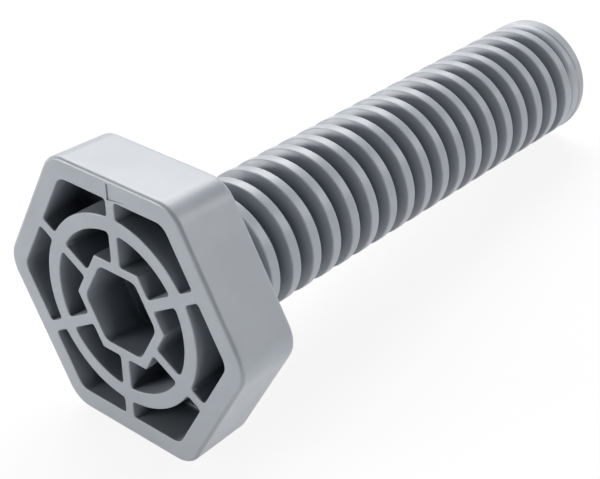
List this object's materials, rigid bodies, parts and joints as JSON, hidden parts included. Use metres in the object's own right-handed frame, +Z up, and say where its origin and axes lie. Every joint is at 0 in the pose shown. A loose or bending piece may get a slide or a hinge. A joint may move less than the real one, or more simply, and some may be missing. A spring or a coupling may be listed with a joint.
{
  "type": "levelling foot",
  "caption": "Screw-in levelling foot for a dishwasher: a hexagonal foot with a ribbed, cored face and a hexagon key socket, on a coarse right-hand trapezoid thread.",
  "frame": {"origin": "On the floor under the middle of the lying foot's bounding box.", "axes": "+Z up. +X along the floor from the foot's face towards the end of its screw. The screw's axis lies in the XZ plane and slopes down towards +X by 6.3 degrees, because the foot lies on the shoulder edge of one flat and on its screw's end."},
  "size_m": [0.0704, 0.0314, 0.0283],
  "materials": {
    "grey_plastic": "satin moulded plastic, cool mid grey"
  },
  "bodies": {
    "root": {"levelling_foot": "grey_plastic"}
  },
  "joints": []
}
